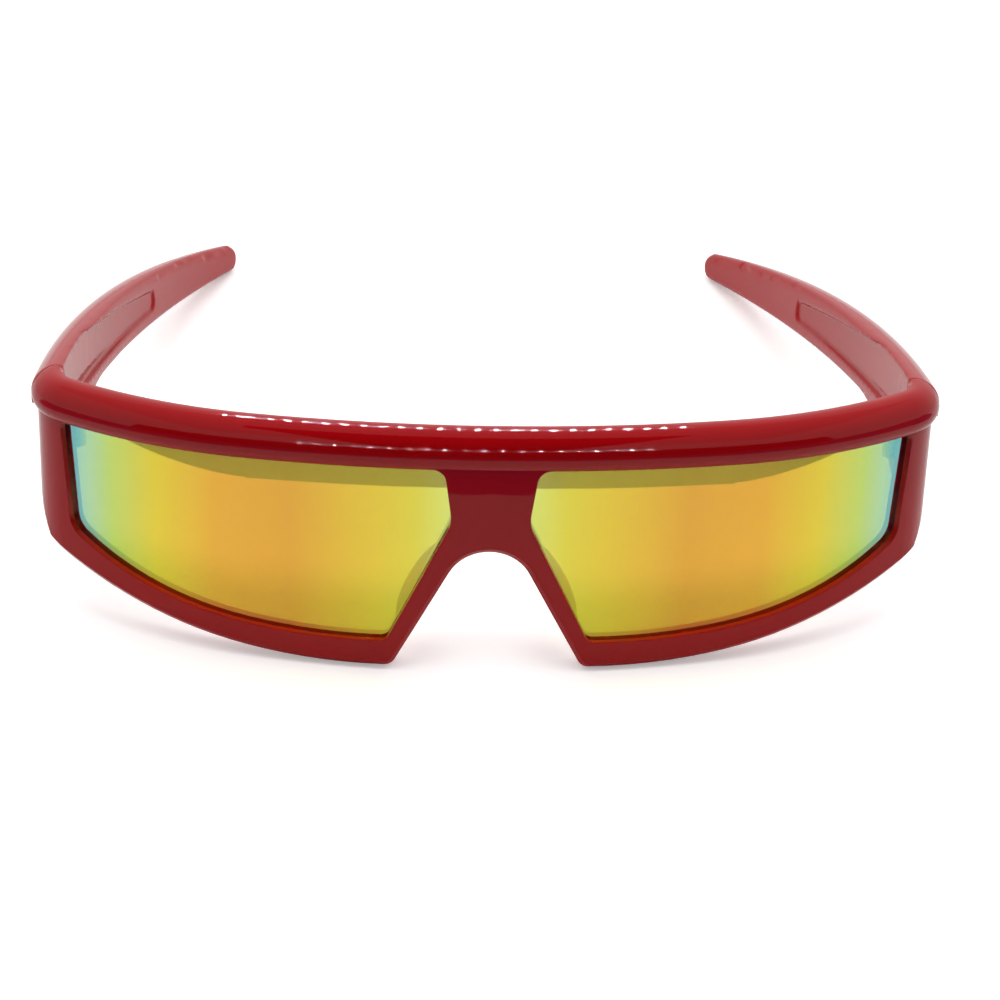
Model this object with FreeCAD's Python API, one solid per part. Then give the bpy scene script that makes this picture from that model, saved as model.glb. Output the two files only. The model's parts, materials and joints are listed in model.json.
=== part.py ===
import FreeCAD, Part
import math
import os

os.makedirs("parts", exist_ok=True)

# Sizes are in mm and degrees, drawn with the brow level: X right, Y back, Z up
# Y is zero at the foremost point of the brow and Z is zero under the rims

# Brow line seen from above, three arcs a side that run into one another
brow_centre_radius = 195.0
brow_side_radius = 76.0
brow_corner_radius = 11.6
brow_centre_angle = 11.5
brow_side_angle = 37.0
seam_angle = 90.0

# Brow bar section
bar_level = 36.9
bar_top_radius = 3.95
bar_low_radius = 3.0
bar_low_drop = 1.9
bar_depth = 5.4
bar_back_bevel = 0.6

# Rim wall under the bar
rim_setback = 1.0
rim_front_bevel = 0.8
rim_back_bevel = 0.6
rim_flank_share = 0.648
rim_flank_level = 3.75
rim_wing_share = 1.08
rim_wing_level = 17.6
rim_foot_round = 2.0
end_slope_plan_angle = 75.0
end_slope_angle = 52.0
seam_low_level = 19.8

# Nose notch and the two nose wings
nose_arch_radius = 7.2
nose_arch_level = 13.3
nose_angle = 28.1
wing_level = 11.5
wing_half_length = 7.0
wing_reach = 8.0
wing_thickness = 1.6
wing_flare_angle = 25.0
wing_root = 0.7

# Lens windows, given where the outer end of the window meets the rim face
window_back = 18.5
window_flare_share = 0.6
window_waist_x = 6.05
window_waist_level = 25.5
window_inner_top_x = 7.2
window_top_level = 34.7
window_outer_top_inset = 5.68
window_outer_low_inset = 7.28
window_outer_low_level = 16.6
window_dip_share = 0.54
window_dip_level = 7.0
window_foot_x = 14.8
window_foot_level = 4.6
window_waist_round = 6.0
window_top_round = 2.2
window_end_round = 1.2
window_outer_round = 3.6
window_foot_round = 1.6

# Lenses
lens_recess = 1.15
lens_thickness = 2.0
lens_seat = 1.2
lens_clearance = 0.05

# Temples, which bow inward and droop along two slanted sweeps
seam_gap = 0.22
seam_flat = 1.8
seam_slant_angle = 35.0
seam_thickness = 5.6
temple_rail = 0.9
temple_outer_radius = 280.0
temple_outer_slant_angle = 23.0
temple_inner_radius = 300.0
temple_inner_slant_angle = 24.7
temple_start_angle = 4.1
temple_inner_round = 2.2
temple_inner_lift = 0.3
temple_heel_back = 41.0
temple_heel_level = 25.6
temple_arch_back = 58.0
temple_arch_level = 26.7
temple_calf_back = 95.0
temple_calf_level = 22.9
temple_tip_back = 139.2
temple_tail_height = 4.5
temple_tip_radius = 2.9
temple_low_bevel = 0.7
ledge_radius = 368.0
ledge_mid_back = 61.0
ledge_mid_level = 32.3
ledge_end_back = 100.0
ledge_end_level = 27.6

# Shallow pocket on the inner side of each temple, fading out towards the tip
pocket_depth = 1.3
pocket_floor_radius = 286.0
pocket_front_top_level = 44.0
pocket_front_low_level = 33.4
pocket_mid_back = 60.0
pocket_mid_top_level = 36.3
pocket_mid_low_level = 28.9
pocket_end_back = 94.0
pocket_end_top_level = 29.6
pocket_end_low_level = 25.9
pocket_round = 1.4

# Hinges, one upright pin axis inside each seam
hinge_inset = 1.95
hinge_level = 30.5
hinge_height = 6.0
knuckle_radius = 1.5
knuckle_gap = 0.1
knuckle_room = 0.3
temple_knuckle_height = 2.4
leaf_thickness = 1.0
leaf_arm_width = 1.2
leaf_arm_setback = 0.3
leaf_web_gap = 0.3
front_foot_depth = 1.6
front_foot_length = 4.6
temple_foot_depth = 2.1
temple_foot_length = 6.0
foot_clearance = 0.05
screw_radius = 0.6
screw_clearance = 0.05
screw_head_radius = 1.15
screw_head_height = 0.7
screw_slot_width = 0.35
screw_slot_depth = 0.35

# Cuts run past the faces by this much
overrun = 5.0
mesh_step = 0.05
tilt_slack_angle = 0.000001

half_share = 0.5
whole_share = 1.0


def place(across, back, up):
    return FreeCAD.Vector(across, back, up)


ORIGIN = place(0, 0, 0)
RIGHT = place(whole_share, 0, 0)
BACK = place(0, whole_share, 0)
UP = place(0, 0, whole_share)


def line(start, end):
    return Part.LineSegment(start, end).toShape()


def arc(start, middle, end):
    return Part.Arc(start, middle, end).toShape()


def face_of(edges):
    return Part.Face(Part.Wire(Part.__sortEdges__(edges)))


def polygon(points):
    closed = list(points) + [points[0]]
    return Part.Face(Part.makePolygon(closed))


def block(low, high):
    size = high - low
    return Part.makeBox(size.x, size.y, size.z, low)


def mirrored(shape):
    return shape.mirror(ORIGIN, RIGHT)


def middle_of(edge):
    return edge.valueAt(edge.FirstParameter + (edge.LastParameter - edge.FirstParameter) * half_share)


def rounded(shape, radius, wanted):
    edges = [edge for edge in shape.Edges if wanted(edge)]
    return shape.makeFillet(radius, edges)


# Plan of the brow

def outward(angle):
    turn = math.radians(angle)
    return place(math.sin(turn), -math.cos(turn), 0)


centre_pivot = place(0, brow_centre_radius, 0)
side_pivot = centre_pivot + outward(brow_centre_angle) * (brow_centre_radius - brow_side_radius)
corner_pivot = side_pivot + outward(brow_side_angle) * (brow_side_radius - brow_corner_radius)
seam_back = corner_pivot.y
seam_outer_x = corner_pivot.x + brow_corner_radius
rim_flank_x = seam_outer_x * rim_flank_share
rim_wing_x = seam_outer_x * rim_wing_share
window_outer_top_x = seam_outer_x - window_outer_top_inset
window_outer_low_x = seam_outer_x - window_outer_low_inset
window_dip_x = seam_outer_x * window_dip_share


def turned(shape, pivot, angle):
    copy = shape.copy()
    copy.rotate(pivot, UP, angle)
    return copy


def along_brow(section):
    start = turned(section, centre_pivot, -brow_centre_angle)
    middle = start.revolve(centre_pivot, UP, brow_centre_angle + brow_centre_angle)
    side_start = turned(section, centre_pivot, brow_centre_angle)
    side_turn = brow_side_angle - brow_centre_angle
    side = side_start.revolve(side_pivot, UP, side_turn)
    corner_start = turned(side_start, side_pivot, side_turn)
    corner = corner_start.revolve(corner_pivot, UP, seam_angle - brow_side_angle)
    return middle.fuse([side, corner, mirrored(side), mirrored(corner)])


# Front frame

def bar_section():
    belly = place(0, 0, bar_level)
    top_pivot = place(0, bar_top_radius, bar_level)
    bevel_turn = math.acos((bar_depth - bar_back_bevel - bar_top_radius) / bar_top_radius)
    crest_turn = (math.pi - bevel_turn) * half_share
    top_middle = top_pivot + place(0, -math.cos(crest_turn), math.sin(crest_turn)) * bar_top_radius
    top_end = top_pivot + place(0, math.cos(bevel_turn), math.sin(bevel_turn)) * bar_top_radius
    back_top = top_end + (BACK - UP) * bar_back_bevel
    lip_turn = math.asin(bar_low_drop / bar_low_radius)
    mid_turn = lip_turn * half_share
    low_pivot = place(0, bar_low_radius, bar_level)
    low_middle = low_pivot + place(0, -math.cos(mid_turn), -math.sin(mid_turn)) * bar_low_radius
    lip = low_pivot + place(0, -math.cos(lip_turn), -math.sin(lip_turn)) * bar_low_radius
    back_low = place(0, bar_depth, lip.z)
    edges = [arc(lip, low_middle, belly), arc(belly, top_middle, top_end)]
    edges += [line(top_end, back_top), line(back_top, back_low), line(back_low, lip)]
    return face_of(edges)


def wall_section(front, back, low, high):
    corners = [place(0, front, low), place(0, front, high)]
    corners += [place(0, back, high), place(0, back, low)]
    return polygon(corners)


def rim_outline():
    turn = math.radians(nose_angle)
    arch_pivot = place(0, 0, nose_arch_level)
    arch_top = arch_pivot + UP * nose_arch_radius
    slant_top = arch_pivot + place(math.cos(turn), 0, math.sin(turn)) * nose_arch_radius
    half_turn = math.radians((seam_angle + nose_angle) * half_share)
    arch_middle = arch_pivot + place(math.cos(half_turn), 0, math.sin(half_turn)) * nose_arch_radius
    foot = place(slant_top.x + slant_top.z * math.tan(turn), 0, 0)
    flank = place(rim_flank_x, 0, rim_flank_level)
    wing = place(rim_wing_x, 0, rim_wing_level)
    corner = place(rim_wing_x, 0, bar_level)
    top = place(0, 0, bar_level)
    edges = [arc(arch_top, arch_middle, slant_top), line(slant_top, foot), arc(foot, flank, wing)]
    edges += [line(wing, corner), line(corner, top), line(top, arch_top)]
    prism = face_of(edges).extrude(BACK * (seam_back + overrun + overrun))
    prism.translate(BACK * -overrun)
    return rounded(prism, rim_foot_round, lambda edge: is_foot(edge, foot))


def is_foot(edge, foot):
    spot = middle_of(edge)
    return abs(spot.x - foot.x) < rim_foot_round * half_share and abs(spot.z) < rim_foot_round * half_share


def end_slope():
    turn = math.radians(end_slope_plan_angle)
    rise = math.tan(math.radians(end_slope_angle))
    along = place(math.cos(turn), math.sin(turn), 0)
    across = place(math.sin(turn), -math.cos(turn), 0)
    wall_middle = seam_outer_x - (rim_setback + bar_depth) * half_share
    anchor = place(wall_middle, seam_back, seam_low_level)
    far = overrun / rise
    low = anchor - along * (seam_low_level / rise + far) - UP * (seam_low_level + overrun)
    high = anchor + along * far + UP * overrun
    corner = place(high.x, high.y, low.z)
    wedge = polygon([low, high, corner]).extrude(across * (rim_wing_x + rim_wing_x))
    wedge.translate(across * -rim_wing_x)
    return wedge


def rim_wall():
    wall = along_brow(wall_section(rim_setback, bar_depth, -overrun, bar_level))
    half = rim_outline()
    wall = wall.common(half.fuse(mirrored(half)).removeSplitter())
    wall = wall.cut([end_slope(), mirrored(end_slope())])
    return wall.Solids[0]


def nose_wing():
    turn = math.radians(nose_angle)
    flare = math.radians(wing_flare_angle)
    down = place(math.sin(turn), 0, -math.cos(turn))
    side = place(math.cos(turn), 0, math.sin(turn))
    reach = BACK * math.cos(flare) + side * math.sin(flare)
    through = side * math.cos(flare) - BACK * math.sin(flare)
    slant_top = place(0, 0, nose_arch_level) + side * nose_arch_radius
    along = (slant_top.z - wing_level) / math.cos(turn)
    root = slant_top + down * along + BACK * (bar_depth - wing_root)
    ends = [root - down * wing_half_length, root + down * wing_half_length]
    tip = root + reach * wing_reach
    outline = [arc(ends[0], tip, ends[-1]), line(ends[-1], ends[0])]
    wing = face_of(outline).extrude(through * wing_thickness)
    return wing


# Windows and lenses

def window_spot(back, across, level):
    width = window_outer_top_x - window_waist_x
    stretch = whole_share + window_flare_share * (window_back - back) / width
    return place(window_waist_x + (across - window_waist_x) * stretch, back, level)


def window_edges(corners, dip):
    waist, inner_top, outer_top, outer_low, foot = corners
    edges = [line(waist, inner_top), line(inner_top, outer_top), line(outer_top, outer_low)]
    return edges + [arc(outer_low, dip, foot), line(foot, waist)]


def away(edge, spot):
    return edge.tangentAt(spot).cross(BACK)


def window_wire(back, grow):
    corners = [window_spot(back, window_waist_x, window_waist_level)]
    corners += [window_spot(back, window_inner_top_x, window_top_level)]
    corners += [window_spot(back, window_outer_top_x, window_top_level)]
    corners += [window_spot(back, window_outer_low_x, window_outer_low_level)]
    corners += [window_spot(back, window_foot_x, window_foot_level)]
    dip = window_spot(back, window_dip_x, window_dip_level)
    edges = window_edges(corners, dip)
    grown = []
    for corner, before, after in zip(corners, edges[-1:] + edges[:-1], edges):
        first = away(before, before.LastParameter)
        second = away(after, after.FirstParameter)
        grown.append(corner + (first + second) * (grow / (whole_share + first.dot(second))))
    low = edges[-2]
    dip = dip + away(low, low.Curve.parameter(dip)) * grow
    return Part.Wire(window_edges(grown, dip))


def corner_rounded(shape, spot, radius):
    nearest = min(shape.Edges, key=lambda edge: middle_of(edge).distanceToPoint(spot))
    return shape.makeFillet(radius, [nearest])


def window_plug(grow):
    front = -overrun
    rear = seam_back + overrun
    plug = Part.makeLoft([window_wire(front, grow), window_wire(rear, grow)], True, True)
    middle = (front + rear) * half_share
    corners = [(window_waist_x, window_waist_level, window_waist_round)]
    corners += [(window_inner_top_x, window_top_level, window_top_round)]
    corners += [(window_outer_top_x, window_top_level, window_end_round)]
    corners += [(window_outer_low_x, window_outer_low_level, window_outer_round)]
    corners += [(window_foot_x, window_foot_level, window_foot_round)]
    for across, level, radius in corners:
        plug = corner_rounded(plug, window_spot(middle, across, level), radius + grow)
    return plug


def lens_shell(slack):
    front = rim_setback + lens_recess
    low = window_foot_level - overrun
    high = window_top_level + overrun
    return along_brow(wall_section(front - slack, front + lens_thickness + slack, low, high))


def right_lens():
    return lens_shell(0).common(window_plug(lens_seat - lens_clearance))


def right_groove():
    return lens_shell(lens_clearance).common(window_plug(lens_seat))


def normal_on(face, spot):
    across, along = face.Surface.parameter(spot)
    return face.normalAt(across, along)


def outline_edges(wall, side):
    found = []
    for edge in wall.Edges:
        spot = middle_of(edge)
        if spot.z > bar_level - bar_low_drop or abs(spot.y - seam_back) < seam_gap:
            continue
        normals = [normal_on(face, spot) for face in wall.ancestorsOfType(edge, Part.Face)]
        likeness = normals[0].dot(normals[-1])
        facing = max(normal.y * side for normal in normals)
        if likeness < half_share and facing > half_share:
            found.append(edge)
    return found


def front_frame():
    wall = rim_wall()
    wall = wall.makeChamfer(rim_back_bevel, outline_edges(wall, whole_share))
    wall = wall.makeChamfer(rim_front_bevel, outline_edges(wall, -whole_share))
    body = along_brow(bar_section()).fuse([wall, nose_wing(), mirrored(nose_wing())])
    plug = window_plug(0)
    groove = right_groove()
    body = body.cut([plug, mirrored(plug), groove, mirrored(groove)])
    pocket = front_hinge_pocket().fuse(behind_seam(0))
    body = body.cut([pocket, mirrored(pocket)])
    return body.removeSplitter()


def behind_seam(shift):
    knee = place(seam_inner_x + seam_flat, seam_back + shift, -overrun)
    reach = seam_thickness + overrun
    outer = knee + place(reach, -reach * math.tan(math.radians(seam_slant_angle)), 0)
    inner = knee - RIGHT * rim_wing_x
    rear = temple_tip_back + overrun
    corners = [inner, knee, outer, place(outer.x, rear, knee.z), place(inner.x, rear, knee.z)]
    return polygon(corners).extrude(UP * (bar_level + bar_top_radius + overrun + overrun))


# Temples

temple_front = seam_back + seam_gap
temple_tail_back = temple_tip_back + overrun
seam_inner_x = seam_outer_x - seam_thickness
rail_x = seam_inner_x - temple_rail


def bowed(start, radius, back):
    run = back - seam_back
    return start - radius + math.sqrt(radius * radius - run * run)


def outer_section():
    pivot = place(seam_outer_x - bar_top_radius, seam_back, bar_level)
    turn = math.radians(seam_angle * half_share)
    rise = UP * math.sin(turn) * bar_top_radius
    spread = RIGHT * math.cos(turn) * bar_top_radius
    outer = pivot + RIGHT * bar_top_radius
    inner = pivot - RIGHT * bar_top_radius
    crest = pivot + UP * bar_top_radius
    drop = UP * (bar_level + overrun)
    edges = [arc(outer, pivot + rise + spread, crest), arc(crest, pivot + rise - spread, inner)]
    edges += [line(inner, inner - drop), line(inner - drop, outer - drop), line(outer - drop, outer)]
    return face_of(edges)


def inner_section():
    top = bar_level + bar_top_radius + temple_inner_lift
    pivot = place(rail_x + temple_inner_round, seam_back, top - temple_inner_round)
    turn = math.radians(seam_angle * half_share)
    middle = pivot + place(-math.cos(turn), 0, math.sin(turn)) * temple_inner_round
    side = pivot - RIGHT * temple_inner_round
    crest = pivot + UP * temple_inner_round
    roof = crest + UP * overrun
    far = place(seam_outer_x + overrun, seam_back, roof.z)
    far_low = place(far.x, seam_back, -overrun)
    side_low = place(side.x, seam_back, -overrun)
    edges = [arc(side, middle, crest), line(crest, roof), line(roof, far)]
    edges += [line(far, far_low), line(far_low, side_low), line(side_low, side)]
    return face_of(edges)


def temple_sweep(section, radius, slant_angle):
    slant = math.radians(slant_angle)
    axis = place(-math.sin(slant), 0, math.cos(slant))
    crest = place(seam_outer_x - bar_top_radius, seam_back, bar_level + bar_top_radius)
    centre = crest - place(math.cos(slant), 0, math.sin(slant)) * radius
    before = math.degrees((overrun + overrun) / radius)
    after = math.degrees(math.asin((temple_tail_back + overrun - seam_back) / radius))
    section.rotate(centre, axis, -before)
    sweep = section.revolve(centre, axis, before + after)
    sweep.rotate(crest, RIGHT, -temple_start_angle)
    return sweep


def crest_level(back):
    run = back - seam_back
    bend = temple_outer_radius - math.sqrt(temple_outer_radius * temple_outer_radius - run * run)
    droop = bend * math.sin(math.radians(temple_outer_slant_angle))
    start = math.radians(temple_start_angle)
    return bar_level + bar_top_radius - droop * math.cos(start) - run * math.sin(start)


def temple_outline():
    start = place(0, seam_back, seam_low_level)
    toe = start - BACK * overrun
    heel = place(0, temple_heel_back, temple_heel_level)
    arch = place(0, temple_arch_back, temple_arch_level)
    calf = place(0, temple_calf_back, temple_calf_level)
    tail = place(0, temple_tail_back, crest_level(temple_tail_back) - temple_tail_height)
    high = bar_level + bar_top_radius + overrun
    rear = place(0, tail.y, high)
    front = place(0, toe.y, high)
    edges = [line(toe, start), arc(start, heel, arch), arc(arch, calf, tail)]
    edges += [line(tail, rear), line(rear, front), line(front, toe)]
    return side_prism(edges)


def tip_rounded(arm):
    back = temple_tip_back - temple_tip_radius
    slab = block(place(0, back, -overrun), place(rim_wing_x, back + seam_gap, bar_level))
    ball = Part.makeSphere(temple_tip_radius, arm.common(slab).Solids[0].CenterOfMass)
    beyond = block(place(0, back, -overrun), place(rim_wing_x, temple_tail_back + overrun, bar_level))
    return arm.cut(beyond.cut(ball))


def bow_band(outer_start, inner_start, radius, front, rear):
    middle = (front + rear) * half_share
    spots = []
    for start in (outer_start, inner_start):
        spots.append([place(bowed(start, radius, back), back, 0) for back in (front, middle, rear)])
    outer, inner = spots
    ends = [line(outer[0], inner[0]), line(outer[-1], inner[-1])]
    return face_of([arc(*outer), arc(*inner)] + ends).extrude(UP * (bar_level + bar_level))


def side_prism(edges):
    return face_of(edges).extrude(RIGHT * (rim_wing_x + overrun))


def temple_ledge():
    start = seam_outer_x - rim_setback
    front = seam_back - overrun
    band = bow_band(seam_outer_x + overrun, start, ledge_radius, front, ledge_end_back)
    lip = place(0, seam_back, bar_level - bar_low_drop)
    middle = place(0, ledge_mid_back, ledge_mid_level)
    end = place(0, ledge_end_back, ledge_end_level)
    end_foot = place(0, ledge_end_back, -overrun)
    front_lip = place(0, front, lip.z)
    front_foot = place(0, front, -overrun)
    edges = [line(front_lip, lip), arc(lip, middle, end), line(end, end_foot)]
    edges += [line(end_foot, front_foot), line(front_foot, front_lip)]
    return band.common(side_prism(edges))


def temple_pocket():
    front = temple_front - overrun
    front_top = place(0, front, pocket_front_top_level)
    front_low = place(0, front, pocket_front_low_level)
    end_top = place(0, pocket_end_back, pocket_end_top_level)
    end_low = place(0, pocket_end_back, pocket_end_low_level)
    top = arc(front_top, place(0, pocket_mid_back, pocket_mid_top_level), end_top)
    low = arc(front_low, place(0, pocket_mid_back, pocket_mid_low_level), end_low)
    prism = side_prism([top, low, line(front_top, front_low), line(end_top, end_low)])
    for corner in (end_top, end_low):
        prism = corner_rounded(prism, corner + RIGHT * prism.BoundBox.Center.x, pocket_round)
    rear = pocket_end_back + overrun
    return prism.common(bow_band(rail_x + pocket_depth, rail_x - overrun, pocket_floor_radius, front, rear))


def low_edges(arm):
    found = []
    for edge in arm.Edges:
        spot = middle_of(edge)
        normals = [normal_on(face, spot) for face in arm.ancestorsOfType(edge, Part.Face)]
        under = min(normal.z for normal in normals)
        across = max(abs(normal.x) for normal in normals)
        if under < -half_share and across > half_share and spot.y > temple_front + overrun:
            found.append(edge)
    return found


def right_temple():
    arm = temple_sweep(outer_section(), temple_outer_radius, temple_outer_slant_angle)
    arm = arm.common(temple_sweep(inner_section(), temple_inner_radius, temple_inner_slant_angle))
    arm = arm.common(temple_outline())
    arm = tip_rounded(arm.makeChamfer(temple_low_bevel, low_edges(arm)))
    arm = arm.common(behind_seam(seam_gap))
    return arm.cut([temple_ledge(), temple_pocket(), temple_hinge_pocket()])


# Hinges

hinge_x = seam_inner_x - hinge_inset
hinge_low = hinge_level - hinge_height * half_share
hinge_high = hinge_level + hinge_height * half_share
knuckle_low = hinge_level - temple_knuckle_height * half_share
knuckle_high = hinge_level + temple_knuckle_height * half_share


def barrel(radius, low, high):
    return Part.makeCylinder(radius, high - low, place(hinge_x, seam_back, low), UP)


def front_leaf_blank(slack):
    inner = seam_inner_x + front_foot_depth - leaf_thickness
    outer = seam_inner_x + front_foot_depth
    arm_back = seam_back - leaf_arm_setback
    arm_front = arm_back - leaf_arm_width
    low = hinge_low - slack
    high = hinge_high + slack
    far = place(outer + slack, arm_back, high)
    foot = block(place(inner - slack, seam_back - front_foot_length - slack, low), far)
    web_start = hinge_x + knuckle_radius + leaf_web_gap
    return foot.fuse(block(place(web_start, arm_front - slack, low), far))


def right_front_leaf():
    leaf = front_leaf_blank(0)
    arm_back = seam_back - leaf_arm_setback
    reach = hinge_x + knuckle_radius + leaf_web_gap
    spans = [(hinge_low, knuckle_low - knuckle_gap), (knuckle_high + knuckle_gap, hinge_high)]
    for low, high in spans:
        arm = block(place(hinge_x, arm_back - leaf_arm_width, low), place(reach, arm_back, high))
        leaf = leaf.fuse([arm, barrel(knuckle_radius, low, high)])
    bore = barrel(screw_radius + screw_clearance, hinge_low - overrun, hinge_high + overrun)
    return leaf.cut(bore).removeSplitter()


def front_hinge_pocket():
    pocket = front_leaf_blank(foot_clearance)
    outer = seam_inner_x + front_foot_depth + foot_clearance
    arm_front = seam_back - leaf_arm_setback - leaf_arm_width - foot_clearance
    low = hinge_low - foot_clearance
    high = hinge_high + foot_clearance
    mouth = block(place(hinge_x, arm_front, low), place(outer, seam_back + overrun, high))
    foot_inner = seam_inner_x + front_foot_depth - leaf_thickness - foot_clearance
    slot = block(place(foot_inner, arm_front, low), place(outer, seam_back + overrun, high))
    return pocket.fuse([mouth, slot])


def right_temple_leaf():
    outer = seam_inner_x + temple_foot_depth + leaf_thickness
    inner = seam_inner_x + temple_foot_depth
    arm_front = seam_back + leaf_arm_setback
    arm_back = arm_front + leaf_arm_width
    foot_back = seam_back + temple_foot_length
    foot = block(place(inner, arm_front, hinge_low), place(outer, foot_back, hinge_high))
    arm = block(place(hinge_x, arm_front, knuckle_low), place(outer, arm_back, knuckle_high))
    leaf = foot.fuse([arm, barrel(knuckle_radius, knuckle_low, knuckle_high)])
    bore = barrel(screw_radius + screw_clearance, hinge_low - overrun, hinge_high + overrun)
    return leaf.cut(bore).removeSplitter()


def temple_hinge_pocket():
    outer = seam_inner_x + temple_foot_depth + leaf_thickness + foot_clearance
    inner = seam_inner_x + temple_foot_depth - foot_clearance
    arm_back = seam_back + leaf_arm_setback + leaf_arm_width + foot_clearance
    low = hinge_low - foot_clearance
    high = hinge_high + foot_clearance
    front = seam_back - overrun
    foot_back = seam_back + temple_foot_length + foot_clearance
    foot = block(place(inner, front, low), place(outer, foot_back, high))
    mouth_low = place(hinge_x, front, knuckle_low - foot_clearance)
    mouth_high = place(outer, arm_back, knuckle_high + foot_clearance)
    room = barrel(knuckle_radius + knuckle_room, low, high)
    return foot.fuse([block(mouth_low, mouth_high), room])


def right_hinge_screw():
    shank = barrel(screw_radius, hinge_low, hinge_high)
    head = barrel(screw_head_radius, hinge_high, hinge_high + screw_head_height)
    slot_low = hinge_high + screw_head_height - screw_slot_depth
    corner = place(hinge_x - screw_head_radius, seam_back - screw_slot_width * half_share, slot_low)
    far = place(hinge_x + screw_head_radius, seam_back + screw_slot_width * half_share, slot_low + overrun)
    return shank.fuse(head).cut(block(corner, far)).removeSplitter()


# Rest the rims and the temple tips on one level

def lowest(points, tilt):
    return min(point.z * math.cos(tilt) - point.y * math.sin(tilt) for point in points)


def rest_tilt(front_points, temple_points):
    level, steep = 0, math.radians(seam_angle * half_share)
    while steep - level > math.radians(tilt_slack_angle):
        tilt = (level + steep) * half_share
        if lowest(temple_points, tilt) > lowest(front_points, tilt):
            level = tilt
        else:
            steep = tilt
    return tilt


def build():
    front = front_frame()
    right = {"lens": right_lens(), "temple": right_temple(), "front_leaf": right_front_leaf(),
             "temple_leaf": right_temple_leaf(), "hinge_screw": right_hinge_screw()}
    nodes = {"front_frame": front}
    for name, shape in right.items():
        nodes["right_" + name] = shape
        nodes["left_" + name] = mirrored(shape)
    front_points, faces = front.tessellate(mesh_step)
    temple_points, faces = right["temple"].tessellate(mesh_step)
    tilt = rest_tilt(front_points, temple_points)
    turn = -math.degrees(tilt)
    for shape in nodes.values():
        shape.rotate(ORIGIN, RIGHT, turn)
    foremost = min(point.y * math.cos(tilt) + point.z * math.sin(tilt) for point in front_points)
    rearmost = max(point.y * math.cos(tilt) + point.z * math.sin(tilt) for point in temple_points)
    shift = place(0, -(foremost + rearmost) * half_share, -lowest(front_points, tilt))
    for name, shape in nodes.items():
        shape.translate(shift)
        shape.exportStep("parts/" + name + ".step")


build()
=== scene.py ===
import json
import math
import bmesh
import bpy
from mathutils import Matrix, Vector


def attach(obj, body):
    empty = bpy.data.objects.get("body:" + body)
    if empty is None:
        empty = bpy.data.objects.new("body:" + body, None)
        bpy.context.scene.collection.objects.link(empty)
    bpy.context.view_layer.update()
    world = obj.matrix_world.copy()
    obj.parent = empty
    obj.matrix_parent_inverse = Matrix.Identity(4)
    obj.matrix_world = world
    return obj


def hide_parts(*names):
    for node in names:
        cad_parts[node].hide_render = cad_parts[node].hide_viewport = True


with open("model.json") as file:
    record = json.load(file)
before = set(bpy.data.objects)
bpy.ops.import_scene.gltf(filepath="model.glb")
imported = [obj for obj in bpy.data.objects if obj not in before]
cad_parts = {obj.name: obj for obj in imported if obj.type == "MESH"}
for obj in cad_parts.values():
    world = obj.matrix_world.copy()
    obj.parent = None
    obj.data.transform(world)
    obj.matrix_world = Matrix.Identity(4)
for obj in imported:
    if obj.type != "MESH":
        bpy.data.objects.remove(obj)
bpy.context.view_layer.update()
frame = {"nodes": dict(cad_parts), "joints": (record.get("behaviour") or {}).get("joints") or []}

scene = bpy.context.scene
mm = 0.001
sideways = Vector((1.0, 0.0, 0.0))

# Camera, fitted to the outline in the photograph
camera_place = Vector((-15.27, -406.36, 247.44)) * mm
camera_pitch = 32.52
camera_azimuth = -2.79
camera_roll = 2.27
camera_focal = 93.6
camera_sensor = 36.0
camera_near = 10.0 * mm
camera_far = 20.0

# Floor: a white sheet, which mirrored and bounced light finds to end on a dark blue table in front
floor_size = 4.0
floor_drop = 0.05 * mm
floor_glow = 0.34
floor_roughness = 0.9
sheet_radius = 173.0 * mm
sheet_fade = 0.6 * mm
sheet_grain = 30.0
sheet_tones = [(0.0, (0.93, 0.93, 0.92)), (1.0, (0.95, 0.95, 0.95))]
table_colour = (0.11, 0.15, 0.34)

# Light box round the object, with a dark open front and a dark slot in its ceiling, both given as slopes
opening_spread = 1.4
opening_high = 2.0
opening_high_mirrored = 0.5
slot_spread = 0.3
wall_light = 0.95
ceiling_light = 0.70
ceiling_from = 1.2
dark_light = 0.03
least_slope = 0.001

# Soft light from above
lamp_above_place = (0.0, 0.05, 0.9)
lamp_above_size = (1.2, 0.9)
lamp_above_power = 6.0

# Lamp rows of the box, seen only as glints: count, half length, place behind and height
lamp_rows = [(26, 0.115, 0.37, 0.40), (20, 0.28, -0.72, 0.40)]
lamp_width = 3.0 * mm
lamp_height = 14.0 * mm
lamp_light = 1000.0
lamp_grain = 40.0
lamp_tones = (0.95, 1.0)

# Gloss red plastic, with the softened edges and the faint ripple of a moulding
red_grain = 60.0
red_tones = [(0.0, (0.35, 0.0010, 0.003)), (1.0, (0.39, 0.0014, 0.004))]
red_polish_grain = 400.0
red_polish = (0.015, 0.035)
red_gloss = 0.22
plastic_ior = 1.5
edge_radius = 0.25 * mm
edge_samples = 8
ripple_grain = 120.0
ripple_height = 0.002 * mm

# Lens coating by distance from the nose, and the tint of the lens below it, both deeper and more olive low
# down: partly a hue shift of the coating, partly painted shade for the shaded floor near the rim that the
# lower lens mirrors and shows through
coating_reach = 70.0 * mm
coating = [
    (0.09, (0.53, 0.77, 0.19)),
    (0.17, (0.60, 0.58, 0.03)),
    (0.25, (0.65, 0.46, 0.008)),
    (0.45, (0.64, 0.165, 0.004)),
    (0.62, (0.72, 0.23, 0.002)),
    (0.76, (0.70, 0.57, 0.002)),
    (0.86, (0.34, 0.71, 0.17)),
    (0.94, (0.10, 0.69, 0.72)),
]
coating_share = 0.60
# Painted shade over the lower lens: multipliers for the coating and the tint, and the heights where it
# starts and where it is full
coating_low_shade = (0.85, 1.0, 0.5)
tint = (0.80, 0.65, 0.08)
tint_low_shade = (0.68, 0.80, 0.5)
low_shade_from = 18.0 * mm
low_shade_to = 9.0 * mm
lens_polish_grain = 900.0
lens_polish = (0.008, 0.018)

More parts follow.
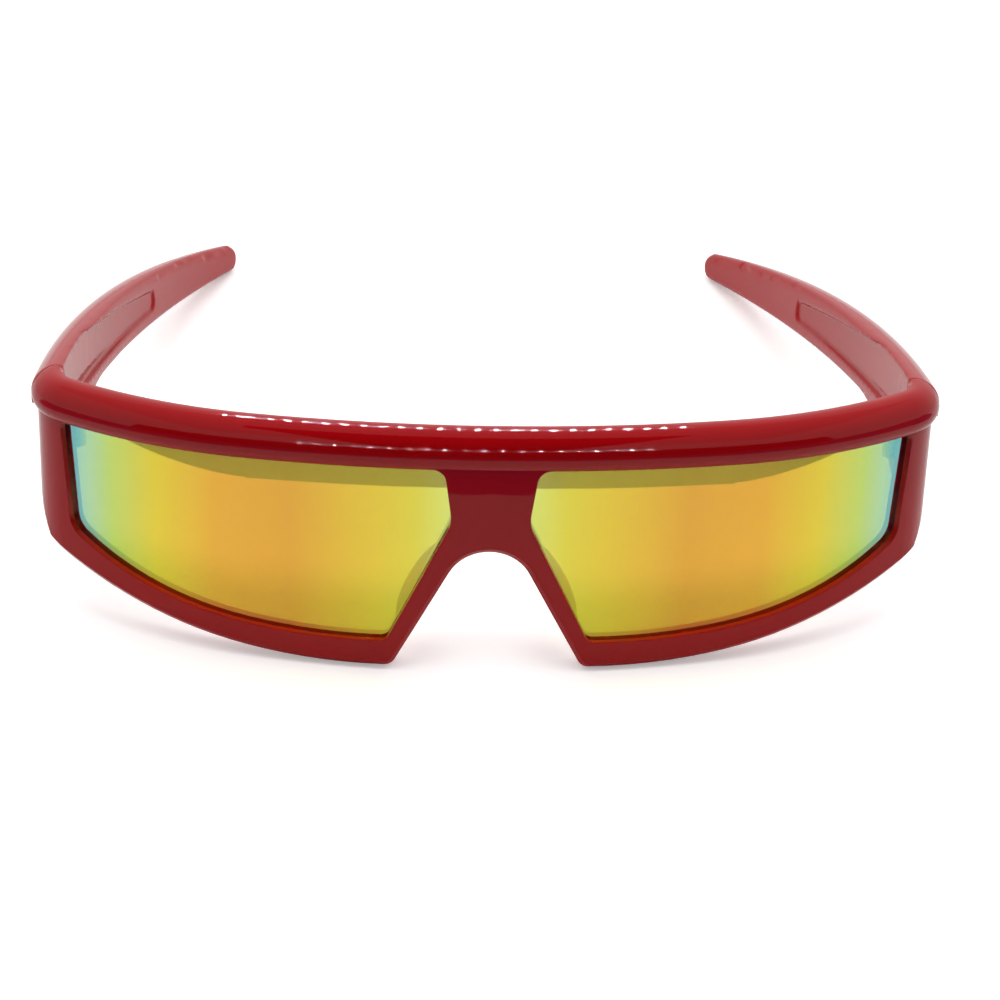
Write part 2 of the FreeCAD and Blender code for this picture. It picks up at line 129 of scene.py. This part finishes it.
# Steel of the hinges
steel_grain = 900.0
steel_tones = [(0.0, (0.42, 0.42, 0.43)), (1.0, (0.66, 0.66, 0.67))]
steel_polish_grain = 1500.0
steel_smoothest = 0.18
leaf_roughest = 0.4
screw_roughest = 0.28
noise_detail = 3.0

# Moulded temples: mesh step, rounds of smoothing, share of faces kept and bend of the brow at the seam
mould_step = 0.22 * mm
mould_rounds = 16
mould_share = 0.3
seam_bend_radius = 11.6 * mm

# Nose pads behind the rim, placed from the hinge pins: across, ahead, below, lean and half sizes
pad_across = 10.6 * mm
pad_ahead = 18.36 * mm
pad_drop = 18.0 * mm
pad_lean = 28.1
pad_half_sizes = (2.1 * mm, 3.8 * mm, 7.4 * mm)
pad_spokes = 48
pad_rings = 24


def new_material(name):
    material = bpy.data.materials.new(name)
    material.use_nodes = True
    nodes = material.node_tree.nodes
    return material, nodes, material.node_tree.links, nodes["Principled BSDF"]


def add(nodes, kind, **settings):
    node = nodes.new(kind)
    for key, value in settings.items():
        setattr(node, key, value)
    return node


def math_node(nodes, links, operation, first, second=None):
    node = add(nodes, "ShaderNodeMath", operation=operation)
    for socket, value in zip(node.inputs, (first, second)):
        if value is None:
            continue
        if isinstance(value, (int, float)):
            socket.default_value = value
        else:
            links.new(value, socket)
    return node.outputs[0]


def ramp(nodes, links, source, stops):
    node = add(nodes, "ShaderNodeValToRGB")
    elements = node.color_ramp.elements
    while len(elements) < len(stops):
        elements.new(1.0)
    for element, (place, colour) in zip(elements, stops):
        element.position = place
        element.color = (*colour, 1.0)
    links.new(source, node.inputs["Fac"])
    return node.outputs["Color"]


def map_range(nodes, links, source, start, end, **settings):
    node = add(nodes, "ShaderNodeMapRange", **settings)
    node.inputs["From Min"].default_value = start
    node.inputs["From Max"].default_value = end
    links.new(source, node.inputs["Value"])
    return node


def mix_colour(nodes, links, share, first, second, **settings):
    node = add(nodes, "ShaderNodeMix", data_type="RGBA", **settings)
    links.new(share, node.inputs["Factor"])
    if isinstance(first, tuple):
        node.inputs["A"].default_value = (*first, 1.0)
    else:
        links.new(first, node.inputs["A"])
    node.inputs["B"].default_value = (*second, 1.0)
    return node.outputs["Result"]


def noise(nodes, links, scale):
    spots = add(nodes, "ShaderNodeTexCoord")
    node = add(nodes, "ShaderNodeTexNoise")
    node.inputs["Scale"].default_value = scale
    node.inputs["Detail"].default_value = noise_detail
    links.new(spots.outputs["Object"], node.inputs["Vector"])
    return node.outputs["Fac"]


def speckle(nodes, links, scale, low, high):
    spread = map_range(nodes, links, noise(nodes, links, scale), 0.0, 1.0)
    spread.inputs["To Min"].default_value = low
    spread.inputs["To Max"].default_value = high
    return spread.outputs["Result"]


def soft_edges(nodes, links):
    bevel = add(nodes, "ShaderNodeBevel", samples=edge_samples)
    bevel.inputs["Radius"].default_value = edge_radius
    bump = add(nodes, "ShaderNodeBump")
    bump.inputs["Strength"].default_value = 1.0
    bump.inputs["Distance"].default_value = ripple_height
    links.new(noise(nodes, links, ripple_grain), bump.inputs["Height"])
    links.new(bevel.outputs["Normal"], bump.inputs["Normal"])
    return bump.outputs["Normal"]


def gloss_red(name):
    material, nodes, links, shader = new_material(name)
    colour = ramp(nodes, links, speckle(nodes, links, red_grain, 0.0, 1.0), red_tones)
    links.new(colour, shader.inputs["Base Color"])
    links.new(speckle(nodes, links, red_polish_grain, *red_polish), shader.inputs["Roughness"])
    links.new(soft_edges(nodes, links), shader.inputs["Normal"])
    shader.inputs["IOR"].default_value = plastic_ior
    shader.inputs["Specular IOR Level"].default_value = red_gloss
    return material


def mirror_lens(name):
    material, nodes, links, mirror = new_material(name)
    spots = add(nodes, "ShaderNodeTexCoord")
    parts = add(nodes, "ShaderNodeSeparateXYZ")
    links.new(spots.outputs["Object"], parts.inputs["Vector"])
    side = math_node(nodes, links, "ABSOLUTE", parts.outputs["X"])
    colour = ramp(nodes, links, math_node(nodes, links, "DIVIDE", side, coating_reach), coating)
    # Painted shade: the coating and the tint are darkened and turned more olive over the lower lens
    drop = map_range(nodes, links, parts.outputs["Z"], low_shade_from, low_shade_to, interpolation_type="SMOOTHSTEP")
    low = drop.outputs["Result"]
    coat_and_low_shade = mix_colour(nodes, links, low, colour, coating_low_shade, blend_type="MULTIPLY")
    links.new(coat_and_low_shade, mirror.inputs["Base Color"])
    polish = speckle(nodes, links, lens_polish_grain, *lens_polish)
    links.new(polish, mirror.inputs["Roughness"])
    mirror.inputs["Metallic"].default_value = 1.0
    smoke = add(nodes, "ShaderNodeBsdfPrincipled")
    shade = mix_colour(nodes, links, low, tint, tint_low_shade, blend_type="MULTIPLY")
    links.new(shade, smoke.inputs["Base Color"])
    smoke.inputs["Transmission Weight"].default_value = 1.0
    smoke.inputs["IOR"].default_value = plastic_ior
    links.new(polish, smoke.inputs["Roughness"])
    facing = add(nodes, "ShaderNodeSeparateXYZ")
    links.new(spots.outputs["Normal"], facing.inputs["Vector"])
    front = math_node(nodes, links, "LESS_THAN", facing.outputs["Y"], 0.0)
    surface = add(nodes, "ShaderNodeNewGeometry")
    outside = math_node(nodes, links, "SUBTRACT", 1.0, surface.outputs["Backfacing"])
    outer_front = math_node(nodes, links, "MULTIPLY", front, outside)
    coated = math_node(nodes, links, "MULTIPLY", outer_front, coating_share)
    blend = add(nodes, "ShaderNodeMixShader")
    links.new(coated, blend.inputs["Fac"])
    links.new(smoke.outputs["BSDF"], blend.inputs[1])
    links.new(mirror.outputs["BSDF"], blend.inputs[2])
    links.new(blend.outputs["Shader"], nodes["Material Output"].inputs["Surface"])
    return material


def bright_steel(name, roughest):
    material, nodes, links, shader = new_material(name)
    colour = ramp(nodes, links, speckle(nodes, links, steel_grain, 0.0, 1.0), steel_tones)
    links.new(colour, shader.inputs["Base Color"])
    polish = speckle(nodes, links, steel_polish_grain, steel_smoothest, roughest)
    links.new(polish, shader.inputs["Roughness"])
    shader.inputs["Metallic"].default_value = 1.0
    return material


def hinge_directions(joint):
    up = Vector(joint["axis"])
    return Vector(joint["pos_m"]), up.cross(sideways), up


def follow_seam_bend(mesh, joint):
    pin, back, up = hinge_directions(joint)
    for vertex in mesh.vertices:
        ahead = (pin - vertex.co).dot(back)
        if ahead > 0.0:
            inward = seam_bend_radius - math.sqrt(seam_bend_radius ** 2 - ahead ** 2)
            vertex.co.x -= math.copysign(inward, vertex.co.x)


def moulded_temple(node, body, joint, material):
    piece = bpy.data.objects.new(node + "_moulding", frame["nodes"][node].data.copy())
    scene.collection.objects.link(piece)
    even = piece.modifiers.new("even", "REMESH")
    even.mode = "VOXEL"
    even.voxel_size = mould_step
    even.use_smooth_shade = True
    soften = piece.modifiers.new("soften", "SMOOTH")
    soften.iterations = mould_rounds
    lighten = piece.modifiers.new("lighten", "DECIMATE")
    lighten.ratio = mould_share
    shaped = piece.evaluated_get(bpy.context.evaluated_depsgraph_get())
    piece.data = bpy.data.meshes.new_from_object(shaped)
    piece.modifiers.clear()
    piece.data.materials.clear()
    piece.data.materials.append(material)
    follow_seam_bend(piece.data, joint)
    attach(piece, body)
    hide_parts(node)


def nose_pad(name, side, joint, material):
    pin, back, up = hinge_directions(joint)
    spot = Vector((side * pad_across, pin.y, pin.z)) - back * pad_ahead - up * pad_drop
    turn = Matrix((sideways, back, up)).transposed().to_4x4()
    lean = Matrix.Rotation(math.radians(-side * pad_lean), 4, "Y")
    size = Matrix.Diagonal((*pad_half_sizes, 1.0))
    place = Matrix.Translation(spot) @ turn @ lean @ size
    shape = bmesh.new()
    bmesh.ops.create_uvsphere(shape, u_segments=pad_spokes, v_segments=pad_rings, radius=1.0)
    bmesh.ops.transform(shape, matrix=place, verts=shape.verts)
    for face in shape.faces:
        face.smooth = True
    mesh = bpy.data.meshes.new(name)
    shape.to_mesh(mesh)
    shape.free()
    mesh.materials.append(material)
    piece = bpy.data.objects.new(name, mesh)
    scene.collection.objects.link(piece)
    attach(piece, "front")


def dress():
    red = gloss_red("gloss_red")
    lens = mirror_lens("mirror_lens")
    leaf = bright_steel("stamped_steel", leaf_roughest)
    screw = bright_steel("turned_steel", screw_roughest)
    for name, node in frame["nodes"].items():
        if name.endswith("lens"):
            material = lens
        elif name.endswith("leaf"):
            material = leaf
        elif name.endswith("screw"):
            material = screw
        else:
            material = red
        node.data.materials.clear()
        node.data.materials.append(material)
        if name.endswith("temple"):
            joint = next(joint for joint in frame["joints"] if joint["name"] == name + "_fold")
            moulded_temple(name, joint["child"], joint, material)
            side = math.copysign(1.0, joint["pos_m"][0])
            nose_pad(name.replace("temple", "nose_pad"), side, joint, material)


def white_floor():
    bpy.ops.mesh.primitive_plane_add(size=floor_size, location=(0, 0, -floor_drop))
    floor = bpy.context.object
    floor.name = "floor"
    material, nodes, links, shader = new_material("white_sheet")
    near = ramp(nodes, links, speckle(nodes, links, sheet_grain, 0.0, 1.0), sheet_tones)
    spots = add(nodes, "ShaderNodeTexCoord")
    parts = add(nodes, "ShaderNodeSeparateXYZ")
    links.new(spots.outputs["Object"], parts.inputs["Vector"])
    reach = add(nodes, "ShaderNodeVectorMath", operation="LENGTH")
    links.new(spots.outputs["Object"], reach.inputs[0])
    beyond = map_range(nodes, links, reach.outputs["Value"], sheet_radius, sheet_radius + sheet_fade)
    ahead = math_node(nodes, links, "LESS_THAN", parts.outputs["Y"], 0.0)
    front = math_node(nodes, links, "MULTIPLY", beyond.outputs["Result"], ahead)
    direct = add(nodes, "ShaderNodeLightPath").outputs["Is Camera Ray"]
    unseen = math_node(nodes, links, "SUBTRACT", 1.0, direct)
    table = math_node(nodes, links, "MULTIPLY", front, unseen)
    links.new(mix_colour(nodes, links, table, near, table_colour), shader.inputs["Base Color"])
    shader.inputs["Roughness"].default_value = floor_roughness
    shader.inputs["Specular IOR Level"].default_value = 0.0
    shader.inputs["Emission Color"].default_value = (1.0, 1.0, 1.0, 1.0)
    glow = math_node(nodes, links, "MULTIPLY", direct, floor_glow)
    links.new(glow, shader.inputs["Emission Strength"])
    floor.data.materials.append(material)


def studio_world():
    world = bpy.data.worlds.new("studio")
    scene.world = world
    world.use_nodes = True
    nodes = world.node_tree.nodes
    links = world.node_tree.links

    def work_out(operation, first, second=None):
        return math_node(nodes, links, operation, first, second)

    spots = add(nodes, "ShaderNodeTexCoord")
    parts = add(nodes, "ShaderNodeSeparateXYZ")
    links.new(spots.outputs["Generated"], parts.inputs["Vector"])
    path = add(nodes, "ShaderNodeLightPath")
    side = work_out("ABSOLUTE", parts.outputs["X"])
    depth = work_out("ABSOLUTE", parts.outputs["Y"])
    ahead = work_out("MULTIPLY", parts.outputs["Y"], -1.0)
    out = work_out("MAXIMUM", ahead, least_slope)
    above = work_out("MAXIMUM", parts.outputs["Z"], least_slope)
    reach = work_out("MAXIMUM", work_out("MAXIMUM", side, depth), least_slope)
    mirrored_drop = work_out("MULTIPLY", path.outputs["Is Glossy Ray"], opening_high - opening_high_mirrored)
    top = work_out("SUBTRACT", opening_high, mirrored_drop)
    within = work_out("LESS_THAN", work_out("DIVIDE", side, out), opening_spread)
    under = work_out("LESS_THAN", work_out("DIVIDE", above, out), top)
    opening = work_out("MULTIPLY", within, under)
    between = work_out("LESS_THAN", work_out("DIVIDE", side, above), slot_spread)
    slot = work_out("MULTIPLY", between, work_out("GREATER_THAN", ahead, 0.0))
    dark = work_out("MAXIMUM", opening, slot)
    overhead = work_out("GREATER_THAN", work_out("DIVIDE", above, reach), ceiling_from)
    lit = ramp(nodes, links, overhead, [(0.0, (wall_light,) * 3), (1.0, (ceiling_light,) * 3)])
    walls = mix_colour(nodes, links, dark, lit, (dark_light,) * 3)
    backdrop = mix_colour(nodes, links, path.outputs["Is Camera Ray"], walls, (1.0, 1.0, 1.0))
    links.new(backdrop, nodes["Background"].inputs["Color"])


def lamp_row(name, count, reach, back, height):
    material, nodes, links, shader = new_material(name)
    links.new(speckle(nodes, links, lamp_grain, *lamp_tones), shader.inputs["Emission Color"])
    shader.inputs["Emission Strength"].default_value = lamp_light
    step = 2.0 * reach / (count - 1)
    for number in range(count):
        spot = (number * step - reach, back, height)
        bpy.ops.mesh.primitive_ico_sphere_add(radius=lamp_height / 2, location=spot)
        lamp = bpy.context.object
        lamp.scale.x = lamp_width / lamp_height
        lamp.name = name + "_" + str(number)
        lamp.data.materials.append(material)
        lamp.visible_camera = False
        lamp.visible_diffuse = False
        lamp.visible_shadow = False


def light_from_above():
    data = bpy.data.lights.new("ceiling", "AREA")
    data.shape = "RECTANGLE"
    data.size, data.size_y = lamp_above_size
    data.energy = lamp_above_power
    light = bpy.data.objects.new("ceiling", data)
    scene.collection.objects.link(light)
    light.location = lamp_above_place
    light.rotation_euler = (-Vector(lamp_above_place)).to_track_quat("-Z", "Y").to_euler()
    light.visible_glossy = False


def photo_camera():
    data = bpy.data.cameras.new("camera")
    data.sensor_width = camera_sensor
    data.lens = camera_focal
    data.clip_start = camera_near
    data.clip_end = camera_far
    camera = bpy.data.objects.new("camera", data)
    scene.collection.objects.link(camera)
    turn = Matrix.Rotation(math.radians(camera_azimuth), 4, "Z")
    tip = Matrix.Rotation(math.radians(90.0 - camera_pitch), 4, "X")
    roll = Matrix.Rotation(math.radians(camera_roll), 4, "Z")
    camera.matrix_world = Matrix.Translation(camera_place) @ turn @ tip @ roll
    scene.camera = camera


dress()
white_floor()
studio_world()
for number, row in enumerate(lamp_rows):
    lamp_row("lamps_" + str(number), *row)
light_from_above()
photo_camera()
scene.view_settings.view_transform = "Standard"
